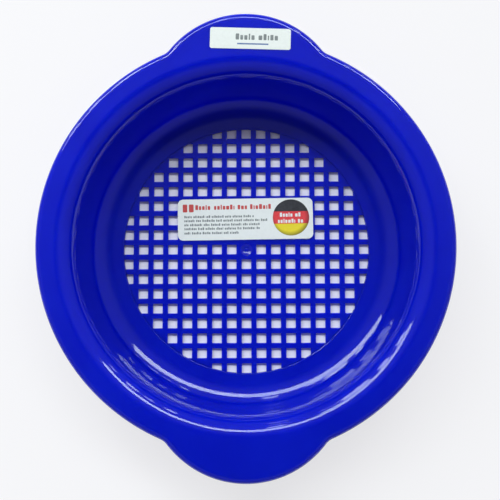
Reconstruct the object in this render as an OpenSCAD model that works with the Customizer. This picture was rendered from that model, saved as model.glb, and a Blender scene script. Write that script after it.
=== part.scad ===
// Sand sieve: a round bowl with a square mesh in its floor, a rim with a turned-down lip
// and a rounded handle at each end. Two paper labels are stuck on it.
// The origin is the middle of the underside, +Z points up and the handles lie along Y.

/* [Mesh floor] */
// Diameter of the meshed part of the floor
mesh_d = 130; // [110:1:150]
// Spacing of the holes, centre to centre
mesh_pitch = 7.8; // [7:0.1:9]
// Side of each square hole
mesh_hole = 5; // [4:0.1:6]
// How far the bars lie below the top of the flat border
mesh_drop = 0.4; // [0.2:0.1:0.8]
// Diameter of the round dimple in the closed middle cell
gate_d = 6.2; // [5:0.1:7.5]
// Depth of the dimple
gate_depth = 0.8; // [0.4:0.1:1.2]
// Diameter of the small nub in the dimple
nub_d = 1.2; // [0.8:0.1:2]
// Height of the nub
nub_h = 0.4; // [0.2:0.1:0.8]

/* [Bowl] */
// Height from the underside to the top of the rim
height = 44; // [36:1:60]
// Thickness of the wall, the floor's border and the rim
wall_t = 2.4; // [1.8:0.1:3]
// Width of the flat border round the mesh
border_w = 5; // [3:0.5:10]
// Radius of the wide curve from the border to the wall
sweep_r = 18; // [12:1:24]
// Slope, in degrees, at which the wide curve gives way to the tight one
sweep_angle = 31; // [26:1:45]
// Radius of the tight curve at the foot of the wall
heel_r = 2.5; // [1.5:0.5:5]
// Lean of the wall from upright, in degrees
wall_lean = 3.5; // [1:0.5:8]

/* [Rim] */
// Radius under the bend from the wall to the rim
brim_under_r = 6.5; // [4:0.5:8]
// Width of the flat top of the rim
flange_w = 6; // [2.5:0.1:8]
// Radius under the bend from the rim to the lip
lip_under_r = 0.5; // [0.3:0.1:3.5]
// Height of the lip, from the top of the rim to its lower edge
lip_h = 8; // [7:0.5:14]

/* [Handles] */
// Radius of a handle's outline
handle_r = 47; // [38:1:56]
// How far a handle reaches past the rim
handle_reach = 12; // [9:0.5:18]

/* [Labels] */
// Thickness of both labels
label_t = 0.2; // [0.1:0.05:0.4]
// Width of the label on the back handle
handle_label_w = 39; // [30:1:42]
// Depth of the label on the back handle, front to back
handle_label_d = 10.4; // [6:0.2:12]
// Corner radius of the label on the back handle
handle_label_corner = 1; // [0.4:0.1:2]
// Distance from the tip of the handle to the middle of its label
handle_label_setback = 13.4; // [11:0.2:15]
// Sideways place of the handle's label
handle_label_x = 2.4; // [-3:0.2:3]
// Turn of the handle's label, in degrees
handle_label_turn = -1.7; // [-4:0.1:4]
// Width of the label on the mesh
floor_label_w = 72; // [50:1:80]
// Depth of the label on the mesh, front to back
floor_label_d = 22; // [14:1:30]
// Corner radius of the label on the mesh
floor_label_corner = 2.9; // [1:0.1:5]
// Sideways place of the label on the mesh
floor_label_x = -0.5; // [-10:0.5:10]
// Place of the label on the mesh, behind the middle of the floor
floor_label_y = 16.2; // [-20:0.2:20]
// Turn of the label on the mesh, in degrees
floor_label_turn = 0.8; // [-4:0.1:4]

/* [Hidden] */
$fn = 144;
// Colours of the moulding and the labels
plastic_blue = [0.05, 0.09, 0.72];
paper_white = [0.94, 0.95, 0.95];
// Least part of a hole, from its inner corner to the edge of the mesh, that is still cut
least_open_share = 0.5;
// How far a cut runs past the face that it opens
overrun = 1;

// Mesh floor
mesh_r = mesh_d / 2;
mesh_t = wall_t - mesh_drop;
cell_count = ceil(mesh_r / mesh_pitch);

// Bowl: the wide curve, the tight curve, the wall and the bend to the rim run into each other smoothly
border_r = mesh_r + border_w;
sweep_z = wall_t + sweep_r;
heel_x = border_r + (sweep_r - heel_r) * sin(sweep_angle);
heel_z = sweep_z - (sweep_r - heel_r) * cos(sweep_angle);
brim_top_r = brim_under_r + wall_t;
wall_to_brim = heel_r + brim_top_r;
wall_len = (height - brim_top_r - heel_z + wall_to_brim * sin(wall_lean)) / cos(wall_lean);

// Rim
brim_r = heel_x + wall_to_brim * cos(wall_lean) + wall_len * sin(wall_lean);
lip_top_r = lip_under_r + wall_t;
rim_r = brim_r + flange_w + lip_top_r;

// Handles: a handle's circle crosses the rim's circle at the crease
handle_y = rim_r + handle_reach - handle_r;
crease_angle = acos(
    (pow(handle_y, 2) + pow(rim_r, 2) - pow(handle_r, 2)) / (2 * handle_y * rim_r)
);
// Each handle takes along the stretch of rim beside its creases, in degrees
crease_margin = 2;
handle_half_angle = crease_angle + crease_margin;

// Distance from the middle to the nearest corner of the hole in a cell
function near_corner(i, j) = norm([
    max(abs(i) * mesh_pitch - mesh_hole / 2, 0),
    max(abs(j) * mesh_pitch - mesh_hole / 2, 0)
]);

// Whether a cell of the mesh has a hole: the middle cell and the slivers at the edge are closed
function is_open(i, j) =
    (i != 0 || j != 0) && mesh_r - near_corner(i, j) >= least_open_share * mesh_hole;

// A wedge with its point at the origin, wide enough to cover a circle of radius r
module wedge(r, from, to) {
    reach = 2 * r / cos((to - from) / 2);
    polygon([
        [0, 0],
        [reach * cos(from), reach * sin(from)],
        [reach * cos(to), reach * sin(to)]
    ]);
}

// Section of a bend in the wall, between two angles
module bend(inside_r, from, to) {
    intersection() {
        difference() {
            circle(r = inside_r + wall_t);
            circle(r = inside_r);
        }
        wedge(inside_r + wall_t, from, to);
    }
}

// Section of a disc whose upper edge is rounded
module disc_section(r, h, edge_r) {
    square([r - edge_r, h]);
    square([r, h - edge_r]);
    translate([r - edge_r, h - edge_r])
        circle(r = edge_r);
}

// Section of the space under a rim of outer radius r, open at the bottom
module space_section(r) {
    translate([0, -overrun])
        disc_section(r - wall_t, lip_h - wall_t + overrun, lip_under_r);
}

// Plan of a label, a rectangle with round corners
module label_plan(w, d, corner) {
    square([w - 2 * corner, d], center = true);
    square([w, d - 2 * corner], center = true);
    for (side_x = [-1, 1], side_y = [-1, 1])
        translate([side_x * (w / 2 - corner), side_y * (d / 2 - corner)])
            circle(r = corner);
}

// Square holes of the mesh
module mesh_holes() {
    for (i = [-cell_count : cell_count], j = [-cell_count : cell_count])
        if (is_open(i, j))
            translate([i * mesh_pitch, j * mesh_pitch])
                square(mesh_hole, center = true);
}

// Dimple in the closed middle cell, with its nub left standing
module gate_dimple() {
    translate([0, 0, mesh_t - gate_depth])
        difference() {
            cylinder(h = gate_depth + overrun, d = gate_d);
            cylinder(h = nub_h, d = nub_d);
        }
}

// Grid of bars in the floor
module mesh_floor() {
    color(plastic_blue)
        difference() {
            linear_extrude(mesh_t)
                difference() {
                    circle(r = mesh_r);
                    mesh_holes();
                }
            gate_dimple();
        }
}

// Flat border round the mesh, on which the sieve stands, and the wide curve up from it
module floor_ring() {
    color(plastic_blue)
        rotate_extrude() {
            translate([mesh_r, 0])
                square([border_w, wall_t]);
            translate([border_r, sweep_z])
                bend(sweep_r, -90, sweep_angle - 90);
        }
}

// Section of the wall, upright, from the middle of the tight curve at its foot to the bend at its top
module wall_section() {
    difference() {
        union() {
            circle(r = heel_r + wall_t);
            translate([heel_r / 2, 0])
                square([wall_to_brim - heel_r / 2, wall_len]);
            translate([wall_to_brim, wall_len])
                circle(r = brim_top_r);
        }
        circle(r = heel_r);
        translate([-heel_r - wall_t, 0])
            square([2 * heel_r + wall_t, wall_len + overrun]);
        translate([wall_to_brim, wall_len])
            circle(r = brim_under_r);
        translate([heel_r + wall_t, -overrun])
            square([2 * brim_top_r, wall_len + overrun]);
    }
}

// Wall of the bowl, with the tight curve at its foot and the bend to the rim at its top
module bowl_wall() {
    color(plastic_blue)
        rotate_extrude()
            difference() {
                translate([heel_x, heel_z])
                    intersection() {
                        rotate(-wall_lean)
                            wall_section();
                        wedge(height, sweep_angle - 90, 90);
                    }
                translate([brim_r, 0])
                    square([2 * brim_top_r, height + overrun]);
            }
}

// Rim from one handle to the other, with its lip
module rim_arc() {
    color(plastic_blue)
        translate([0, 0, height - lip_h])
            rotate(handle_half_angle - 90)
                rotate_extrude(angle = 180 - 2 * handle_half_angle)
                    difference() {
                        disc_section(rim_r, lip_h, lip_top_r);
                        space_section(rim_r);
                        square([brim_r, lip_h + overrun]);
                    }
}

module rim_right() {
    rim_arc();
}

module rim_left() {
    rotate(180)
        rim_arc();
}

// Handle with its lip, and the rim beside it up to the straight cuts
module handle() {
    color(plastic_blue)
        translate([0, 0, height - lip_h])
            intersection() {
                difference() {
                    union() {
                        rotate_extrude()
                            disc_section(rim_r, lip_h, lip_top_r);
                        translate([0, handle_y])
                            rotate_extrude()
                                disc_section(handle_r, lip_h, lip_top_r);
                    }
                    rotate_extrude()
                        space_section(rim_r);
                    translate([0, handle_y])
                        rotate_extrude()
                            space_section(handle_r);
                    cylinder(h = lip_h + overrun, r = brim_r);
                }
                linear_extrude(lip_h + overrun)
                    wedge(rim_r + handle_reach, 90 - handle_half_angle, 90 + handle_half_angle);
            }
}

module handle_back() {
    handle();
}

module handle_front() {
    rotate(180)
        handle();
}

// Label on the flat top of the back handle
module handle_label() {
    color(paper_white)
        translate([handle_label_x, rim_r + handle_reach - handle_label_setback, height])
            rotate(handle_label_turn)
                linear_extrude(label_t)
                    label_plan(handle_label_w, handle_label_d, handle_label_corner);
}

// Label across the bars of the mesh
module floor_label() {
    color(paper_white)
        translate([floor_label_x, floor_label_y, mesh_t])
            rotate(floor_label_turn)
                linear_extrude(label_t)
                    label_plan(floor_label_w, floor_label_d, floor_label_corner);
}

mesh_floor();
floor_ring();
bowl_wall();
rim_right();
rim_left();
handle_back();
handle_front();
handle_label();
floor_label();
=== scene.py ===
"""Sand sieve: one glossy blue moulding with a meshed floor and two handles, and two paper labels.

Lengths are in metres and angles in degrees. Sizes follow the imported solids.
"""
import math

import bmesh
import bpy
from mathutils import Matrix, Vector
from mathutils.geometry import delaunay_2d_cdt


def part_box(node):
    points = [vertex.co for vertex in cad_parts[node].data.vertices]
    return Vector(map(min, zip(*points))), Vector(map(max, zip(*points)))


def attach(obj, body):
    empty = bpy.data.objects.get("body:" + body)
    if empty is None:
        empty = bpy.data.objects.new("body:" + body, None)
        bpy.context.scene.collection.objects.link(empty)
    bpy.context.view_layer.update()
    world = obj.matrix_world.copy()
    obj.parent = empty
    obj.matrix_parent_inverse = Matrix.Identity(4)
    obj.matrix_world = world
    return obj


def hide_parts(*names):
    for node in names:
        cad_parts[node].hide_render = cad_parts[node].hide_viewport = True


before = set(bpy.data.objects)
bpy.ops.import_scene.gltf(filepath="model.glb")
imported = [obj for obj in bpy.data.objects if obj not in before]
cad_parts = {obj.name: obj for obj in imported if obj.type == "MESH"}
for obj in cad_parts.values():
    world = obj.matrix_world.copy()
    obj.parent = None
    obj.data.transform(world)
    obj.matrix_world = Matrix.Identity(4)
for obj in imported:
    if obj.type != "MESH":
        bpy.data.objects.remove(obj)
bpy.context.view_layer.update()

# Sizes read from the solids
MESH_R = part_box("mesh_floor")[1].x
MESH_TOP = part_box("mesh_floor")[1].z
RIM_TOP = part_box("bowl_wall")[1].z
RIM_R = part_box("rim_right")[1].x
LIP_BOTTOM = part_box("rim_right")[0].z
HANDLE_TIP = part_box("handle_back")[1].y

# Section of the bowl and the rim
WALL_T = 0.0024
BORDER_W = 0.005
SWEEP_R = 0.018
SWEEP_ANGLE = 31
HEEL_R = 0.0025
WALL_LEAN = 3.5
BRIM_UNDER_R = 0.0065
LIP_UNDER_R = 0.0005
EDGE_R = 0.0004

BORDER_R = MESH_R + BORDER_W
SWEEP_Z = WALL_T + SWEEP_R
HEEL_X = BORDER_R + (SWEEP_R - HEEL_R) * math.sin(math.radians(SWEEP_ANGLE))
HEEL_Z = SWEEP_Z - (SWEEP_R - HEEL_R) * math.cos(math.radians(SWEEP_ANGLE))
BRIM_TOP_R = BRIM_UNDER_R + WALL_T
BRIM_Z = RIM_TOP - BRIM_TOP_R
WALL_TO_BRIM = HEEL_R + BRIM_TOP_R
WALL_RISE = BRIM_Z - HEEL_Z + WALL_TO_BRIM * math.sin(math.radians(WALL_LEAN))
BRIM_R = (
    HEEL_X
    + WALL_TO_BRIM * math.cos(math.radians(WALL_LEAN))
    + WALL_RISE * math.tan(math.radians(WALL_LEAN))
)
LIP_TOP_R = LIP_UNDER_R + WALL_T

# Outline of the handles: a circle each, blended into the rim's circle
HANDLE_R = 0.047
BLEND_R = 0.008
HANDLE_CENTRE = Vector((0, HANDLE_TIP - HANDLE_R))
BLEND_Y = (
    ((RIM_R + BLEND_R) ** 2 - (HANDLE_R + BLEND_R) ** 2 + HANDLE_CENTRE.y ** 2)
    / (2 * HANDLE_CENTRE.y)
)
BLEND_CENTRE = Vector((math.sqrt((RIM_R + BLEND_R) ** 2 - BLEND_Y ** 2), BLEND_Y))
BLEND_ENDS = [
    BLEND_CENTRE * RIM_R / (RIM_R + BLEND_R),
    BLEND_CENTRE.lerp(HANDLE_CENTRE, BLEND_R / (HANDLE_R + BLEND_R)),
]
BLEND_ANGLES = [math.degrees(math.atan2(end.y, end.x)) for end in BLEND_ENDS]

# Fineness of the moulding
ARC_STEPS = 18
EDGE_STEPS = 6
FLANGE_STEPS = 12
RIM_STEPS = 66
BLEND_STEPS = 18
HANDLE_STEPS = 52
SUPPORT_SHARES = [0.03, 0.2, 0.4, 0.6, 0.8, 0.97]

# Mesh: square holes with rounded edges, and a dimple in the closed middle cell
MESH_PITCH = 0.0078
MESH_HOLE = 0.005
LEAST_OPEN_SHARE = 0.5
HOLE_CORNER = 0.0003
HOLE_CORNER_STEPS = 3
HOLE_SIDE_STEPS = 10
HOLE_LIMIT_R = MESH_R - 0.00005
GRID_R = MESH_R + 0.0005
GRID_STEPS = 240
BAR_EDGE_R = 0.0003
BAR_FOOT_R = 0.00015
BAR_EDGE_STEPS = 4
SUPPORT = 0.00003
GATE_R = 0.0031
GATE_DEPTH = 0.0008
GATE_EDGE = 0.00025
NUB_R = 0.0006
NUB_H = 0.0004
GATE_STEPS = 48
# Ends of the dish, as shares of the radius of the dimple and of the nub, and the nub's narrowing
DISH_ENDS = (0.96, 1.15)
DISH_STEPS = 8
NUB_SHOULDERS = (0.95, 0.7)
# Share of the dimple's edge inside which the flat top is left open
GATE_OPEN_SHARE = 0.999
DISH_R = (GATE_R ** 2 + GATE_DEPTH ** 2) / (2 * GATE_DEPTH)

# Distances within which points count as one, in flat faces and in whole forms
FLAT_NEAR = 1e-9
FORM_NEAR = 1e-7

# Labels
LABEL_EDGE = 0.00004
INK_T = 0.00002
# How far print and badge stand out of the paper, as shares of the ink's thickness
PRINT_RISE = 0.9
BADGE_RISE = 0.4
HANDLE_LABEL_SIZE = (0.039, 0.0104)
HANDLE_LABEL_CORNER = 0.001
HANDLE_LABEL_TURN = -1.7
FLOOR_LABEL_SIZE = (0.072, 0.022)
FLOOR_LABEL_CORNER = 0.0029
FLOOR_LABEL_TURN = 0.8
CORNER_STEPS = 8
DRAPE_STEP = 0.0008

# Stand-ins for the labels' print: rows of blocks as (left, right, middle height, block height)
HEADING_MARKS = [
    (-0.0333, -0.0309, 0.0062, 0.0042),
    (-0.0300, -0.0275, 0.0062, 0.0042),
]
HEADING_ROWS = [
    (-0.0266, -0.0178, 0.0066, 0.0026),
    (-0.0166, 0.0140, 0.0066, 0.0026),
]
SMALL_ROWS = [
    (-0.0325, 0.0050, 0.0016, 0.0013),
    (-0.0325, 0.0116, -0.0005, 0.0013),
    (-0.0325, 0.0080, -0.0027, 0.0013),
    (-0.0325, 0.0075, -0.0048, 0.0013),
    (-0.0325, -0.0032, -0.0071, 0.0013),
]
BADGE_CENTRE = (0.0243, 0.0005)
BADGE_R = 0.0097
BADGE_STRIPE = 0.0033
BADGE_STEPS = 64
BADGE_LIT = (-0.0006, 0.0006)
# Shade at the badge's rim: where it starts and is full, as shares of its radius, its most, its tone
BADGE_SHADE_REACH = (0.82, 1.08)
BADGE_SHADE_MOST = 0.75
BADGE_SHADE_TONE = (0.01, 0.01, 0.01, 1)
BADGE_ROWS = [
    (0.0184, 0.0302, 0.0020, 0.0022),
    (0.0173, 0.0313, -0.0013, 0.0022),
]
HANDLE_ROWS = [(-0.0071, 0.0133, 0.0008, 0.0030)]
UNDERLINE = (-0.0063, 0.0088, -0.0027, 0.0007)
# Widths of the blocks in a row, as shares of their height, and how many stand together
BLOCK_WIDTHS = [0.55, 0.45, 0.5, 0.24, 0.5, 0.6, 0.48, 0.22, 0.5]
BLOCK_RISES = [1.0, 0.76, 0.76, 1.0, 0.76, 0.76, 1.0, 0.76, 0.9, 0.76, 0.76]
BLOCK_GAP = 0.2
WORD_GAP = 0.45
WORD_LENGTHS = [5, 7, 3, 8, 4, 6]
# Rounding of a block as a share of its smaller side, and the share of a block that still fits a row
BLOCK_CORNER = 0.2
LEAST_BLOCK = 0.5

# How far light goes into the plastic, per colour: the thin wall glows where light falls on its back
PLASTIC_DEPTHS = (0.001, 0.002, 0.0072)

# Tones and roughness of the materials, each a range that noise runs through
PLASTIC_TONES = ((0.002, 0.009, 0.52), (0.003, 0.013, 0.58))
PLASTIC_ROUGHNESS = (0.035, 0.065)
PAPER_TONES = ((0.91, 0.9, 0.86), (0.955, 0.945, 0.905))
PAPER_ROUGHNESS = (0.35, 0.5)
INK_ROUGHNESS = (0.3, 0.45)
RED_TONES = ((0.6, 0.05, 0.05), (0.68, 0.09, 0.08))
GREY_TONES = ((0.16, 0.17, 0.17), (0.24, 0.25, 0.25))
BLUE_TONES = ((0.08, 0.14, 0.34), (0.12, 0.2, 0.42))
BADGE_TONES = {
    "badge_dark": ((0.02, 0.02, 0.025), (0.04, 0.04, 0.05)),
    "badge_red": ((0.84, 0.04, 0.055), (0.9, 0.07, 0.075)),
    "badge_yellow": ((0.93, 0.73, 0.02), (0.97, 0.79, 0.035)),
}

# Noise: scale and detail, and the part of its span that is mapped to a range
CLOUDS = (30, 2)
SCUFFS = (90, 4)
WAVES = (90, 1)
FIBRES = (700, 4)
COAT = (300, 2)
INK_GRAIN = (900, 3)
NOISE_SPAN = (0.3, 0.7)
WAVE_STRENGTH = 0.006
WAVE_HEIGHT = 0.0002

# Sockets of the colour mix node that share their names with others: first, second, result
MIX_FIRST = 6
MIX_SECOND = 7
MIX_RESULT = 2

# Windows of the studio, upright behind the sieve: left, right, bottom, top, distance back, radiance
WINDOWS = {
    "strip_left": (-1.9, 0.0, 1.50, 2.28, 1.2, 6.8),
    "strip_right": (0.0, 1.12, 1.54, 2.30, 1.2, 8.0),
    "pane_left_a": (-0.419, -0.29, 0.37, 0.69, 0.55, 6.4),
    "pane_left_b": (-0.563, -0.485, 0.37, 0.69, 0.55, 6.4),
    "pane_left_c": (-0.777, -0.658, 0.37, 0.69, 0.55, 6.4),
    "pane_left_dash": (-0.28, -0.21, 0.64, 0.74, 0.55, 6.0),
    "pane_left_slat": (-0.28, -0.21, 0.44, 0.47, 0.55, 4.0),
    "pane_middle": (-0.105, -0.06, 0.56, 0.64, 0.55, 8.0),
    "pane_middle_slat": (-0.115, -0.065, 0.38, 0.41, 0.55, 4.0),
    "pane_middle_low": (-0.115, -0.065, 0.2, 0.23, 0.55, 4.0),
    "pane_right_a": (0.19, 0.225, 0.36, 0.52, 0.55, 6.0),
    "pane_right_b": (0.27, 0.306, 0.36, 0.52, 0.55, 4.0),
    "pane_right_c": (0.335, 0.395, 0.38, 0.54, 0.55, 6.4),
    "pane_right_d": (0.46, 0.5, 0.36, 0.52, 0.55, 3.6),
}
# Colour of the windows' light, a little cool, and a lamp's power per radiance and area
WINDOW_TINT = (0.88, 1.0, 1.0)
POWER_SHARE = 4

# Sky: its tones and where they lie, and the dim patch overhead where the viewer leans over the sieve
HORIZON_TONE = (0.15, 0.155, 0.17, 1)
SKY_TONE = (0.26, 0.27, 0.3, 1)
SKY_HEIGHTS = (0.05, 0.5)
VIEWER_DIRECTION = (0, -0.12, 0.99)
VIEWER_COSINES = (0.9, 0.985)
VIEWER_SHARE = 0.12

# Floor: its size, how far it lies below the sieve, its tone, and the share of painted white glow that it
# sends to the camera and into reflections round the sieve, where it lightens the shadow, rising to all
# white far away; under the sieve it has no glow
FLOOR_SIZE = 40
FLOOR_DROP = 0.00005
FLOOR_TONE = (0.97, 0.9, 0.95, 1)
FLOOR_GLOW = 0.7
FLOOR_FADE = (0.25, 0.8)

# Camera, fitted to the mesh and the rim in a picture 500 pixels wide
PICTURE_W = 500
FOCAL_PIXELS = 700
SENSOR_W = 36
CLIP_START = 0.01
CAMERA_PLACE = (0.00236, -0.03127, 0.3723)
CAMERA_TURN = (4.778, 0.083, -0.160)


def spaced(start, end, steps):
    """Evenly spaced values from start to end, both included."""
    return [start + (end - start) * i / steps for i in range(steps + 1)]


def arc(centre, radius, start, end, steps=ARC_STEPS):
    """Points along an arc in a plane."""
    turns = [math.radians(a) for a in spaced(start, end, steps)]
    return [(centre[0] + radius * math.cos(a), centre[1] + radius * math.sin(a)) for a in turns]


def between(start, end):
    """Points inside a straight stretch, close to its ends so that its shading stays flat."""
    return [
        tuple(a + (b - a) * share for a, b in zip(start, end))
        for share in SUPPORT_SHARES
    ]


def add_piece(name, mesh, slot, material, *nodes):
    """A new piece of the object that stands for CAD nodes."""
    piece = bpy.data.objects.new(name, mesh)
    bpy.context.scene.collection.objects.link(piece)
    piece.data.materials.clear()
    piece.data.materials.append(material)
    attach(piece, "root")
    if nodes:
        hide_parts(*nodes)
    return piece


# Outline


def ray_to_circle(ray, centre, radius, side):
    """Distance along a ray from the middle to the near (-1) or far (1) side of a circle."""
    along = ray.dot(centre)
    return along + side * math.sqrt(along ** 2 - centre.length_squared + radius ** 2)


def outline_at(angle):
    """Point of the rim's outline in a direction from the middle, and the outward normal there."""
    direction = Vector((math.cos(math.radians(angle)), math.sin(math.radians(angle))))
    mirror = Vector((math.copysign(1, direction.x), math.copysign(1, direction.y)))
    ray = direction * mirror
    turn = math.degrees(math.atan2(ray.y, ray.x))
    if turn <= BLEND_ANGLES[0]:
        point = ray * RIM_R
        normal = ray
    elif turn < BLEND_ANGLES[1]:
        point = ray * ray_to_circle(ray, BLEND_CENTRE, BLEND_R, -1)
        normal = (BLEND_CENTRE - point) / BLEND_R
    else:
        point = ray * ray_to_circle(ray, HANDLE_CENTRE, HANDLE_R, 1)
        normal = (point - HANDLE_CENTRE) / HANDLE_R
    return point * mirror, normal * mirror


def station_angles():
    """Directions of the sections round the moulding, closer together at the handles."""
    quarter = (
        spaced(0, BLEND_ANGLES[0], RIM_STEPS)[:-1]
        + spaced(BLEND_ANGLES[0], BLEND_ANGLES[1], BLEND_STEPS)[:-1]
        + spaced(BLEND_ANGLES[1], 90, HANDLE_STEPS)
    )
    half = quarter + [180 - a for a in reversed(quarter[1:-1])]
    return half + [180 + a for a in half]


# Moulding


def bowl_side(depth):
    """Section of the bowl from the flat border to the brim, at a depth in the wall from its inside."""
    sweep = arc((BORDER_R, SWEEP_Z), SWEEP_R + depth, -90, SWEEP_ANGLE - 90)
    heel = arc((HEEL_X, HEEL_Z), HEEL_R + depth, SWEEP_ANGLE - 90, -WALL_LEAN)
    brim = arc((BRIM_R, BRIM_Z), BRIM_TOP_R - depth, 180 - WALL_LEAN, 90)
    return sweep + heel[1:] + between(heel[-1], brim[0]) + brim


def lip_side(depth):
    """Section of the lip from the flat rim to its lower edge, measured outward from the outline."""
    bend = arc((-LIP_TOP_R, RIM_TOP - LIP_TOP_R), LIP_TOP_R - depth, 90, 0)
    foot = (-depth, LIP_BOTTOM + EDGE_R)
    return bend + between(bend[-1], foot)


def border_edge():
    """Section of the flat border's inner edge, from the underside up to its top."""
    bottom = arc((MESH_R + EDGE_R, EDGE_R), EDGE_R, 270, 180, EDGE_STEPS)
    top = arc((MESH_R + EDGE_R, WALL_T - EDGE_R), EDGE_R, 180, 90, EDGE_STEPS)
    return bottom + top


def lip_edge():
    """Section of the lip's lower edge, from its outside to its inside."""
    outer = arc((-EDGE_R, LIP_BOTTOM + EDGE_R), EDGE_R, 0, -90, EDGE_STEPS)
    inner = arc((EDGE_R - WALL_T, LIP_BOTTOM + EDGE_R), EDGE_R, -90, -180, EDGE_STEPS)
    return outer + inner


def moulding_section():
    """Closed section as (share, reach, height): share 0 is round the middle, 1 along the outline."""
    inner_edge = border_edge()
    inside = bowl_side(0)
    outside = bowl_side(WALL_T)
    top_border = between(inner_edge[-1], inside[0])
    low_border = between(outside[0], inner_edge[0])
    flange = spaced(0, 1, FLANGE_STEPS)[1:-1]
    return (
        [(0, r, z) for r, z in inner_edge + top_border + inside]
        + [(share, 0, RIM_TOP) for share in flange]
        + [(1, d, z) for d, z in lip_side(0) + lip_edge() + lip_side(WALL_T)[::-1]]
        + [(share, 0, RIM_TOP - WALL_T) for share in flange[::-1]]
        + [(0, r, z) for r, z in outside[::-1] + low_border]
    )


def section_point(angle, share, reach, height):
    """Place of one point of the section in a direction from the middle."""
    direction = Vector((math.cos(math.radians(angle)), math.sin(math.radians(angle))))
    edge, normal = outline_at(angle)
    if share == 0:
        flat = direction * reach
    elif share == 1:
        flat = edge + normal * reach
    else:
        flat = (direction * BRIM_R).lerp(edge - normal * LIP_TOP_R, share)
    return flat.x, flat.y, height


def make_moulding(material):
    """Border, bowl, rim and handles as one smooth closed skin."""
    section = moulding_section()
    angles = station_angles()
    points = [section_point(angle, *place) for angle in angles for place in section]
    count = len(section)
    faces = []
    for i in range(len(angles)):
        here = i * count
        there = (i + 1) % len(angles) * count
        for j in range(count):
            k = (j + 1) % count
            faces.append((here + j, here + k, there + k, there + j))
    mesh = bpy.data.meshes.new("moulding")
    mesh.from_pydata(points, [], faces)
    mesh.shade_smooth()
    return add_piece(
        "sieve_moulding", mesh, "blue_plastic", material,
        "floor_ring", "bowl_wall", "rim_right", "rim_left", "handle_back", "handle_front",
    )


# Mesh floor


def hole_cells():
    """Cells of the mesh that have a hole: not the middle one, and not the slivers at the edge."""
    count = math.ceil(MESH_R / MESH_PITCH)
    cells = []
    for i in range(-count, count + 1):
        for j in range(-count, count + 1):
            near = [max(abs(k) * MESH_PITCH - MESH_HOLE / 2, 0) for k in (i, j)]
            if (i or j) and MESH_R - math.hypot(*near) >= LEAST_OPEN_SHARE * MESH_HOLE:
                cells.append((i, j))
    return cells


def hole_outline(cell, grow):
    """Outline of a hole, widened all round; where it meets the border it follows the border's edge."""
    corner = HOLE_CORNER + grow
    reach = MESH_HOLE / 2 + grow - corner
    x, y = (k * MESH_PITCH for k in cell)
    limit = HOLE_LIMIT_R + grow
    starts = [(reach, reach, 0), (-reach, reach, 90), (-reach, -reach, 180), (reach, -reach, 270)]
    points = []
    for dx, dy, start in starts:
        points += arc((x + dx, y + dy), corner, start, start + 90, HOLE_CORNER_STEPS)
    if max(math.hypot(*p) for p in points) > limit - BAR_EDGE_R:
        points = [
            (a[0] + (b[0] - a[0]) * k / HOLE_SIDE_STEPS, a[1] + (b[1] - a[1]) * k / HOLE_SIDE_STEPS)
            for a, b in zip(points, points[1:] + points[:1])
            for k in range(HOLE_SIDE_STEPS if math.dist(a, b) > HOLE_CORNER * 2 else 1)
        ]
    return [tuple(c * min(1, limit / math.hypot(*p)) for c in p) for p in points]


def in_hole(point, grow):
    """Whether a point lies inside a widened hole of its cell."""
    cell = tuple(round(c / MESH_PITCH) for c in point)
    if cell not in OPEN_CELLS or math.hypot(*point) > HOLE_LIMIT_R + grow:
        return False
    return all(abs(c - k * MESH_PITCH) < MESH_HOLE / 2 + grow for c, k in zip(point, cell))


def flat_triangles(loops, keep):
    """Triangles between closed loops, as points and corners, for the places to be kept."""
    points = [p for loop in loops for p in loop]
    edges = []
    for loop in loops:
        first = len(edges)
        edges += [(first + k, first + (k + 1) % len(loop)) for k in range(len(loop))]
    result = delaunay_2d_cdt([Vector(p) for p in points], edges, [], 0, FLAT_NEAR)
    places = result[0]
    return places, [
        face for face in result[2]
        if keep(tuple(sum(places[k][axis] for k in face) / len(face) for axis in (0, 1)))
    ]


def add_triangles(made, places, faces, height, up):
    """Flat triangles at a height that look up or down."""
    corners = [made.verts.new((p[0], p[1], height)) for p in places]
    for face in faces:
        a, b, c = (places[k] for k in face)
        turn = (b - a).cross(c - a)
        order = face if (turn > 0) == up else face[::-1]
        made.faces.new([corners[k] for k in order])


def add_flat(made, loops, height, up, keep):
    """A flat face with openings, at a height, that looks up or down."""
    places, faces = flat_triangles(loops, keep)
    add_triangles(made, places, faces, height, up)


def lifted(loop, height):
    """A flat loop at a height."""
    return [(x, y, height) for x, y in loop]


def add_strips(made, loops):
    """Faces between successive closed loops of the same count."""
    rings = [[made.verts.new(p) for p in loop] for loop in loops]
    for low, high in zip(rings, rings[1:]):
        for i in range(len(low)):
            j = (i + 1) % len(low)
            made.faces.new((low[i], low[j], high[j], high[i]))
    return rings


def hole_profile():
    """How far a hole is widened at successive heights, from its top edge down to its foot."""
    top = arc((BAR_EDGE_R, MESH_TOP - BAR_EDGE_R), BAR_EDGE_R, 90, 180, BAR_EDGE_STEPS)
    foot = arc((BAR_FOOT_R, BAR_FOOT_R), BAR_FOOT_R, 180, 270, BAR_EDGE_STEPS)
    return [(BAR_EDGE_R + SUPPORT, MESH_TOP)] + top + foot + [(BAR_FOOT_R + SUPPORT, 0)]


def gate_profile():
    """Radius and height of the dimple, from its edge to the top of the nub."""
    dish = [
        (r, MESH_TOP - GATE_DEPTH + DISH_R - math.sqrt(DISH_R ** 2 - r ** 2))
        for r in spaced(GATE_R * DISH_ENDS[0], NUB_R * DISH_ENDS[1], DISH_STEPS)
    ]
    nub_top = MESH_TOP - GATE_DEPTH + NUB_H
    nub = [
        (NUB_R, nub_top - NUB_H / 2),
        (NUB_R * NUB_SHOULDERS[0], nub_top - NUB_H / 6),
        (NUB_R * NUB_SHOULDERS[1], nub_top),
    ]
    edge = [
        (GATE_R + GATE_EDGE + SUPPORT, MESH_TOP),
        (GATE_R + GATE_EDGE, MESH_TOP),
        (GATE_R + GATE_EDGE / 3, MESH_TOP - GATE_EDGE / 12),
    ]
    return edge + dish + nub


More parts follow.
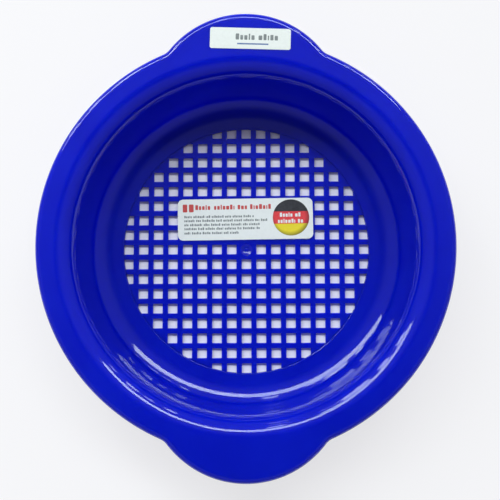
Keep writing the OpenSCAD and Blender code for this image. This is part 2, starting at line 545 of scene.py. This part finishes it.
def ring(radius, steps):
    """Points round a circle about the middle."""
    return arc((0, 0), radius, 0, 360 - 360 / steps, steps - 1)


def make_mesh_floor(material):
    """The grid of bars with rounded edges, let into the border, and the dimple in its middle."""
    made = bmesh.new()
    profile = hole_profile()
    for cell in sorted(OPEN_CELLS):
        add_strips(made, [lifted(hole_outline(cell, grow), z) for grow, z in profile])
    edge = ring(GRID_R, GRID_STEPS)
    gate = gate_profile()
    gate_edge = ring(gate[0][0], GATE_STEPS)
    tops = [hole_outline(cell, profile[0][0]) for cell in sorted(OPEN_CELLS)]
    feet = [hole_outline(cell, profile[-1][0]) for cell in sorted(OPEN_CELLS)]
    open_r = gate[0][0] * GATE_OPEN_SHARE

    def top_keep(place):
        return not in_hole(place, profile[0][0]) and math.hypot(*place) > open_r

    def foot_keep(place):
        return not in_hole(place, profile[-1][0])

    inner_edge = ring(GRID_R - SUPPORT, GRID_STEPS)
    add_flat(made, [inner_edge, gate_edge] + tops, MESH_TOP, True, top_keep)
    add_flat(made, [inner_edge] + feet, 0, False, foot_keep)
    add_strips(made, [
        lifted(loop, z)
        for loop, z in ((inner_edge, 0), (edge, 0), (edge, MESH_TOP), (inner_edge, MESH_TOP))
    ])
    dish = add_strips(made, [lifted(ring(r, GATE_STEPS), z) for r, z in gate])
    made.faces.new(dish[-1])
    bmesh.ops.remove_doubles(made, verts=made.verts, dist=FORM_NEAR)
    bmesh.ops.recalc_face_normals(made, faces=made.faces)
    mesh = bpy.data.meshes.new("mesh_grid")
    made.to_mesh(mesh)
    made.free()
    mesh.shade_smooth()
    return add_piece("mesh_grid", mesh, "blue_plastic", material, "mesh_floor")


# Labels


def rounded_rect(width, depth, corner):
    """Outline of a rectangle with round corners, about its middle."""
    x = width / 2 - corner
    y = depth / 2 - corner
    corners = [((x, y), 0), ((-x, y), 90), ((-x, -y), 180), ((x, -y), 270)]
    return [p for c, start in corners for p in arc(c, corner, start, start + 90, CORNER_STEPS)]


def add_skin(made, loops):
    """A closed form through outlines at rising heights."""
    rings = add_strips(made, [lifted(outline, z) for outline, z in loops])
    made.faces.new(rings[0][::-1])
    made.faces.new(rings[-1])


def finish_label_mesh(made, name, node, turn):
    """Puts a label's form on its place and returns its mesh."""
    low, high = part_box(node)
    middle = (low + high) / 2
    place = Matrix.Translation((middle.x, middle.y, low.z)) @ Matrix.Rotation(math.radians(turn), 4, "Z")
    made.transform(place)
    mesh = bpy.data.meshes.new(name)
    made.to_mesh(mesh)
    made.free()
    return mesh


def drop_at(point):
    """How far the back handle's surface lies below its flat top at a place."""
    past = (Vector(point) - HANDLE_CENTRE).length - (HANDLE_R - LIP_TOP_R)
    if past <= 0:
        return 0
    return LIP_TOP_R - math.sqrt(LIP_TOP_R ** 2 - past ** 2)


def sheet_triangles(outline, grid):
    """Triangles that fill an outline and pass through the points of a grid."""
    edges = [(k, (k + 1) % len(outline)) for k in range(len(outline))]
    result = delaunay_2d_cdt([Vector(p) for p in outline + grid], edges, [], 0, FLAT_NEAR)
    return result[0], result[2]


def make_label(node, size, corner, turn, material):
    """A sheet of label paper with a slightly rounded upper edge, laid on the surface below it."""
    low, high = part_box(node)
    top = high.z - low.z - INK_T
    inset = rounded_rect(size[0] - 2 * LABEL_EDGE, size[1] - 2 * LABEL_EDGE, corner - LABEL_EDGE)
    outline = rounded_rect(*size, corner)
    made = bmesh.new()
    add_strips(made, [
        lifted(loop, z)
        for loop, z in ((outline, 0), (outline, top - LABEL_EDGE), (inset, top))
    ])
    grid = [
        (x, y)
        for x in spaced(-size[0] / 2 + corner, size[0] / 2 - corner, round(size[0] / DRAPE_STEP))
        for y in spaced(-size[1] / 2 + corner, size[1] / 2 - corner, round(size[1] / DRAPE_STEP))
    ]
    for loop, z, up in ((outline, 0, False), (inset, top, True)):
        add_triangles(made, *sheet_triangles(loop, grid), z, up)
    bmesh.ops.remove_doubles(made, verts=made.verts, dist=FORM_NEAR)
    mesh = finish_label_mesh(made, node, node, turn)
    if node == "handle_label":
        for vertex in mesh.vertices:
            vertex.co.z -= drop_at(vertex.co.xy)
    return add_piece(node + "_sheet", mesh, "label_paper", material, node)


# Print


def add_block(made, left, right, low, high, top):
    """A thin closed block of ink on a label."""
    corner = min(right - left, high - low) * BLOCK_CORNER
    outline = rounded_rect(right - left, high - low, corner)
    middle = ((left + right) / 2, (low + high) / 2)
    placed = [(x + middle[0], y + middle[1]) for x, y in outline]
    add_skin(made, [(placed, top - INK_T), (placed, top + INK_T * PRINT_RISE)])


def add_mark(made, mark, top):
    """One block of print that fills its place."""
    left, right, middle, height = mark
    add_block(made, left, right, middle - height / 2, middle + height / 2, top)


def add_row(made, row, top, start=0):
    """A row of blocks that stands for a line of print; rows with other starts differ."""
    left, right, middle, height = row
    low = middle - height / 2
    count = start
    in_word = 0
    word = start
    while left < right - BLOCK_WIDTHS[0] * height * LEAST_BLOCK:
        width = min(BLOCK_WIDTHS[count % len(BLOCK_WIDTHS)] * height, right - left)
        rise = BLOCK_RISES[count % len(BLOCK_RISES)] * height
        add_block(made, left, left + width, low, low + rise, top)
        left += width + BLOCK_GAP * height
        count += 1
        in_word += 1
        if in_word == WORD_LENGTHS[word % len(WORD_LENGTHS)]:
            left += WORD_GAP * height
            in_word = 0
            word += 1


def make_print(name, node, turn, material, build):
    """A piece of print on a label, built by a function of the mesh and the label's top."""
    low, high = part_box(node)
    made = bmesh.new()
    build(made, high.z - low.z - INK_T)
    return add_piece(name, finish_label_mesh(made, name, node, turn), "label_paper", material)


def badge_segment(low, high):
    """Outline of the part of the badge between two heights from its middle."""
    start = math.degrees(math.asin(max(-1, low / BADGE_R)))
    end = math.degrees(math.asin(min(1, high / BADGE_R)))
    right = arc(BADGE_CENTRE, BADGE_R, start, end, BADGE_STEPS)
    left = arc(BADGE_CENTRE, BADGE_R, 180 - end, 180 - start, BADGE_STEPS)
    return right + left


def badge_ink(name, dark, light):
    """Print of the badge, shaded at its rim as if it were domed."""
    material = ink(name, dark, light)
    tree = material.node_tree
    shader = tree.nodes["Principled BSDF"]
    tone = shader.inputs["Base Color"].links[0].from_socket
    low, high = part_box("floor_label")
    middle = (low + high) / 2
    turn = Matrix.Rotation(math.radians(FLOOR_LABEL_TURN), 2)
    centre = turn @ Vector(BADGE_CENTRE)
    lit = (middle.x + centre.x + BADGE_LIT[0], middle.y + centre.y + BADGE_LIT[1], high.z)
    coords = add(tree, "ShaderNodeTexCoord")
    reach = add(
        tree, "ShaderNodeVectorMath", {1: lit}, {0: coords.outputs["Object"]}, operation="DISTANCE"
    )
    shade = add(
        tree, "ShaderNodeMapRange",
        {
            "From Min": BADGE_R * BADGE_SHADE_REACH[0], "From Max": BADGE_R * BADGE_SHADE_REACH[1],
            "To Min": 0, "To Max": BADGE_SHADE_MOST,
        },
        {"Value": reach.outputs["Value"]},
    )
    mix = add(
        tree, "ShaderNodeMix", None, {"Factor": shade.outputs["Result"]}, data_type="RGBA",
    )
    tree.links.new(tone, mix.inputs[MIX_FIRST])
    mix.inputs[MIX_SECOND].default_value = BADGE_SHADE_TONE
    tree.links.new(mix.outputs[MIX_RESULT], shader.inputs["Base Color"])
    return material


def make_floor_print(red, grey, white, badge):
    """Heading, small print and round badge of the label on the mesh."""
    place = ("floor_label", FLOOR_LABEL_TURN)
    make_print("heading_print", *place, red, lambda made, top: [
        *(add_mark(made, mark, top) for mark in HEADING_MARKS),
        *(add_row(made, row, top, start) for start, row in enumerate(HEADING_ROWS)),
    ])
    make_print("small_print", *place, grey, lambda made, top: [
        add_row(made, row, top, start) for start, row in enumerate(SMALL_ROWS)
    ])
    stripes = [("upper", BADGE_STRIPE, BADGE_R), ("middle", -BADGE_STRIPE, BADGE_STRIPE),
               ("lower", -BADGE_R, -BADGE_STRIPE)]
    for (side, low, high), material in zip(stripes, badge):
        make_print("badge_" + side, *place, material, lambda made, top: add_skin(made, [
            (badge_segment(low, high), top - INK_T),
            (badge_segment(low, high), top + INK_T * BADGE_RISE),
        ]))
    make_print("badge_print", *place, white, lambda made, top: [
        add_row(made, row, top, start) for start, row in enumerate(BADGE_ROWS)
    ])


# Materials


def add(tree, kind, values=None, links=None, **properties):
    """A shader node with its properties, socket values and incoming links."""
    made = tree.nodes.new(kind)
    for name, value in properties.items():
        setattr(made, name, value)
    for name, value in (values or {}).items():
        made.inputs[name].default_value = value
    for name, source in (links or {}).items():
        tree.links.new(source, made.inputs[name])
    return made


def new_material(name):
    """An empty node material: its tree and its principled shader."""
    material = bpy.data.materials.new(name)
    material.use_nodes = True
    return material, material.node_tree, material.node_tree.nodes["Principled BSDF"]


def noise(tree, scale, detail):
    """Noise over the object's own coordinates."""
    coords = add(tree, "ShaderNodeTexCoord")
    made = add(
        tree, "ShaderNodeTexNoise", {"Scale": scale, "Detail": detail},
        {"Vector": coords.outputs["Object"]},
    )
    return made.outputs["Fac"]


def spread(tree, factor, low, high):
    """A factor mapped to a range of values."""
    made = add(
        tree, "ShaderNodeMapRange",
        {"From Min": NOISE_SPAN[0], "From Max": NOISE_SPAN[1], "To Min": low, "To Max": high},
        {"Value": factor},
    )
    return made.outputs["Result"]


def two_tones(tree, factor, dark, light):
    """A colour between two tones."""
    made = add(tree, "ShaderNodeValToRGB", None, {"Fac": factor})
    ends = made.color_ramp.elements
    ends[0].position = NOISE_SPAN[0]
    ends[0].color = (*dark, 1)
    ends[1].position = NOISE_SPAN[1]
    ends[1].color = (*light, 1)
    return made.outputs["Color"]


def plastic():
    """Glossy ultramarine plastic: a little cloudy, faintly waved and scuffed."""
    material, tree, shader = new_material("blue_plastic")
    tones = two_tones(tree, noise(tree, *CLOUDS), *PLASTIC_TONES)
    tree.links.new(tones, shader.inputs["Base Color"])
    scuffs = spread(tree, noise(tree, *SCUFFS), *PLASTIC_ROUGHNESS)
    tree.links.new(scuffs, shader.inputs["Roughness"])
    bump = add(
        tree, "ShaderNodeBump", {"Strength": WAVE_STRENGTH, "Distance": WAVE_HEIGHT},
        {"Height": noise(tree, *WAVES)},
    )
    tree.links.new(bump.outputs["Normal"], shader.inputs["Normal"])
    shader.inputs["Subsurface Weight"].default_value = 1
    shader.inputs["Subsurface Radius"].default_value = PLASTIC_DEPTHS
    shader.inputs["Subsurface Scale"].default_value = 1
    return material


def paper():
    """White label paper with a satin coat and faint fibres."""
    material, tree, shader = new_material("label_paper")
    tones = two_tones(tree, noise(tree, *FIBRES), *PAPER_TONES)
    tree.links.new(tones, shader.inputs["Base Color"])
    coat = spread(tree, noise(tree, *COAT), *PAPER_ROUGHNESS)
    tree.links.new(coat, shader.inputs["Roughness"])
    return material


def ink(name, dark, light):
    """Print in one colour, a little uneven."""
    material, tree, shader = new_material(name)
    tones = two_tones(tree, noise(tree, *INK_GRAIN), dark, light)
    tree.links.new(tones, shader.inputs["Base Color"])
    coat = spread(tree, noise(tree, *COAT), *INK_ROUGHNESS)
    tree.links.new(coat, shader.inputs["Roughness"])
    return material


# Studio


def make_floor():
    """A wide pale floor that keeps the shadow, with a painted white glow for the camera and reflections:
    none under the sieve, part round it, lightening the shadow there, and all far away.
    """
    bpy.ops.mesh.primitive_plane_add(size=FLOOR_SIZE, location=(0, 0, -FLOOR_DROP))
    floor = bpy.context.object
    floor.name = "floor"
    material, tree, shader = new_material("floor")
    shader.inputs["Base Color"].default_value = FLOOR_TONE
    shader.inputs["Roughness"].default_value = 1
    shader.inputs["Specular IOR Level"].default_value = 0
    path = add(tree, "ShaderNodeLightPath")
    seen = path.outputs["Is Camera Ray"]
    for other in ("Is Glossy Ray", "Is Transmission Ray"):
        either = add(
            tree, "ShaderNodeMath", None, {0: seen, 1: path.outputs[other]}, operation="MAXIMUM"
        )
        seen = either.outputs[0]
    # Painted glow: white light that lightens the shadow round the sieve, none under it, full far away
    coords = add(tree, "ShaderNodeTexCoord")
    reach = add(tree, "ShaderNodeVectorMath", None, {0: coords.outputs["Object"]}, operation="LENGTH")
    outside = add(
        tree, "ShaderNodeMapRange",
        {"From Min": BORDER_R, "From Max": RIM_R, "To Min": 0, "To Max": FLOOR_GLOW},
        {"Value": reach.outputs["Value"]},
    )
    far = add(
        tree, "ShaderNodeMapRange",
        {"From Min": FLOOR_FADE[0], "From Max": FLOOR_FADE[1], "To Min": 0, "To Max": 1 - FLOOR_GLOW},
        {"Value": reach.outputs["Value"]},
    )
    white = add(
        tree, "ShaderNodeMath", None,
        {0: outside.outputs["Result"], 1: far.outputs["Result"]}, operation="ADD",
    )
    share = add(
        tree, "ShaderNodeMath", None, {0: seen, 1: white.outputs[0]}, operation="MULTIPLY"
    )
    glow = add(tree, "ShaderNodeEmission", {"Color": (1, 1, 1, 1), "Strength": 1})
    both = add(
        tree, "ShaderNodeMixShader", None,
        {0: share.outputs[0], 1: shader.outputs["BSDF"], 2: glow.outputs["Emission"]},
    )
    tree.links.new(both.outputs["Shader"], tree.nodes["Material Output"].inputs["Surface"])
    floor.data.materials.append(material)


def make_world():
    """Dim at the horizon and paler above, with a dark patch overhead."""
    world = bpy.data.worlds.new("studio")
    world.use_nodes = True
    bpy.context.scene.world = world
    tree = world.node_tree
    coords = add(tree, "ShaderNodeTexCoord")
    split = add(tree, "ShaderNodeSeparateXYZ", None, {0: coords.outputs["Generated"]})
    ramp = add(tree, "ShaderNodeValToRGB", None, {"Fac": split.outputs["Z"]})
    ends = ramp.color_ramp.elements
    ends[0].position = SKY_HEIGHTS[0]
    ends[0].color = HORIZON_TONE
    ends[1].position = SKY_HEIGHTS[1]
    ends[1].color = SKY_TONE
    near = add(
        tree, "ShaderNodeVectorMath", {1: VIEWER_DIRECTION}, {0: coords.outputs["Generated"]},
        operation="DOT_PRODUCT",
    )
    patch = add(
        tree, "ShaderNodeMapRange",
        {
            "From Min": VIEWER_COSINES[0], "From Max": VIEWER_COSINES[1],
            "To Min": 1, "To Max": VIEWER_SHARE,
        },
        {"Value": near.outputs["Value"]},
    )
    background = tree.nodes["Background"]
    tree.links.new(ramp.outputs["Color"], background.inputs["Color"])
    tree.links.new(patch.outputs["Result"], background.inputs["Strength"])


def make_lights():
    """Soft windows on the far side: two long strips high up and panes below them."""
    for name, (left, right, low, high, back, radiance) in WINDOWS.items():
        lamp = bpy.data.lights.new(name, "AREA")
        lamp.shape = "RECTANGLE"
        lamp.size = right - left
        lamp.size_y = high - low
        lamp.energy = radiance * POWER_SHARE * lamp.size * lamp.size_y
        lamp.color = WINDOW_TINT
        panel = bpy.data.objects.new(name, lamp)
        panel.location = ((left + right) / 2, back, (low + high) / 2)
        panel.rotation_euler = (math.radians(-90), 0, 0)
        panel.visible_camera = False
        bpy.context.scene.collection.objects.link(panel)


def make_camera():
    """The camera at the photograph's place."""
    data = bpy.data.cameras.new("camera")
    data.sensor_width = SENSOR_W
    data.lens = FOCAL_PIXELS / PICTURE_W * SENSOR_W
    data.clip_start = CLIP_START
    camera = bpy.data.objects.new("camera", data)
    camera.location = CAMERA_PLACE
    camera.rotation_euler = [math.radians(a) for a in CAMERA_TURN]
    bpy.context.scene.collection.objects.link(camera)
    bpy.context.scene.camera = camera


OPEN_CELLS = set(hole_cells())

blue = plastic()
make_moulding(blue)
make_mesh_floor(blue)
white = paper()
make_label("handle_label", HANDLE_LABEL_SIZE, HANDLE_LABEL_CORNER, HANDLE_LABEL_TURN, white)
make_label("floor_label", FLOOR_LABEL_SIZE, FLOOR_LABEL_CORNER, FLOOR_LABEL_TURN, white)
red = ink("red_ink", *RED_TONES)
grey = ink("grey_ink", *GREY_TONES)
blue_ink = ink("blue_ink", *BLUE_TONES)
badge_inks = [badge_ink(name, *tones) for name, tones in BADGE_TONES.items()]
make_floor_print(red, grey, white, badge_inks)
handle_place = ("handle_label", HANDLE_LABEL_TURN)
make_print("handle_print", *handle_place, grey, lambda made, top: [
    add_row(made, row, top) for row in HANDLE_ROWS
])
make_print("handle_line", *handle_place, blue_ink, lambda made, top: add_mark(made, UNDERLINE, top))
make_floor()
make_world()
make_lights()
make_camera()
bpy.context.scene.view_settings.view_transform = "Standard"
